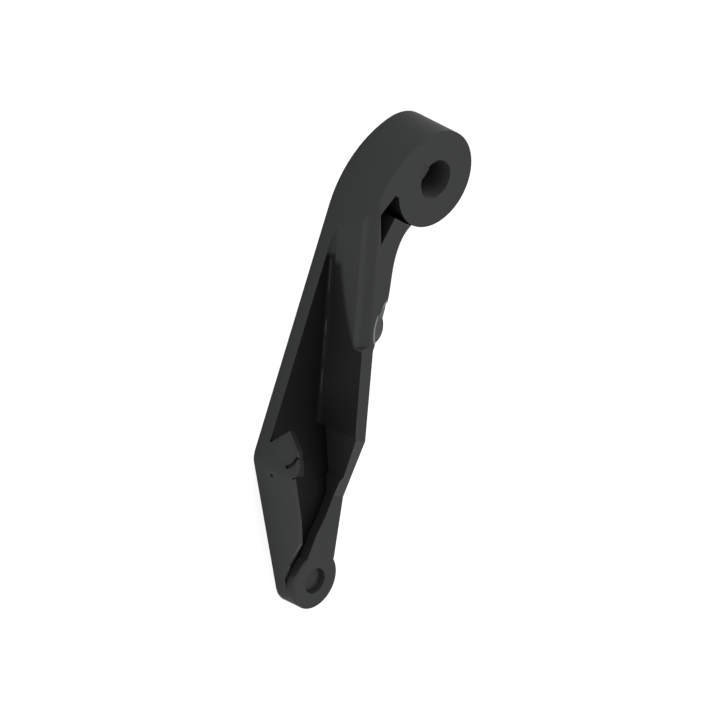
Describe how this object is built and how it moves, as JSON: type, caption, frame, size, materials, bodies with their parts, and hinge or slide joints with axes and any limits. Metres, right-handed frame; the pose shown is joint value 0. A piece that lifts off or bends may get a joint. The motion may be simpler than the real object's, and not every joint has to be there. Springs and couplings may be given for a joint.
{
  "type": "gate opener arm",
  "caption": "Cranked cast arm of a swing gate opener, with a keyed hub for the output shaft, an open-sided pocket and a pinned eye for the next link.",
  "frame": {"origin": "on the axis of the keyed hub bore, in the flat back plane", "axes": "+Z along the output shaft, away from the back plane; +X down the arm towards the eye; -Y is the outer side of the gooseneck"},
  "size_m": [0.2528, 0.0731, 0.028],
  "materials": {
    "black_paint": "satin black paint on a sand-smooth die casting",
    "black_plastic": "black moulded nylon",
    "black_steel": "blackened steel",
    "spring_steel": "phosphated spring steel",
    "zinc": "zinc plated"
  },
  "bodies": {
    "arm": {"arm_casting": "black_paint", "shaft_key": "black_steel", "hub_set_screw": "black_steel", "stop_screw": "black_steel", "stop_washer": "zinc", "elbow_plug": "black_plastic", "eye_bush": "black_plastic", "thrust_washer": "zinc", "retaining_ring": "spring_steel"},
    "link": {"link_pin": "black_steel"}
  },
  "joints": [
    {"name": "link_pin_turn", "type": "hinge", "parent": "arm", "child": "link", "pos_m": [0.2131, 0.0201, 0], "axis": [0, 0, 1], "continuous": true}
  ]
}
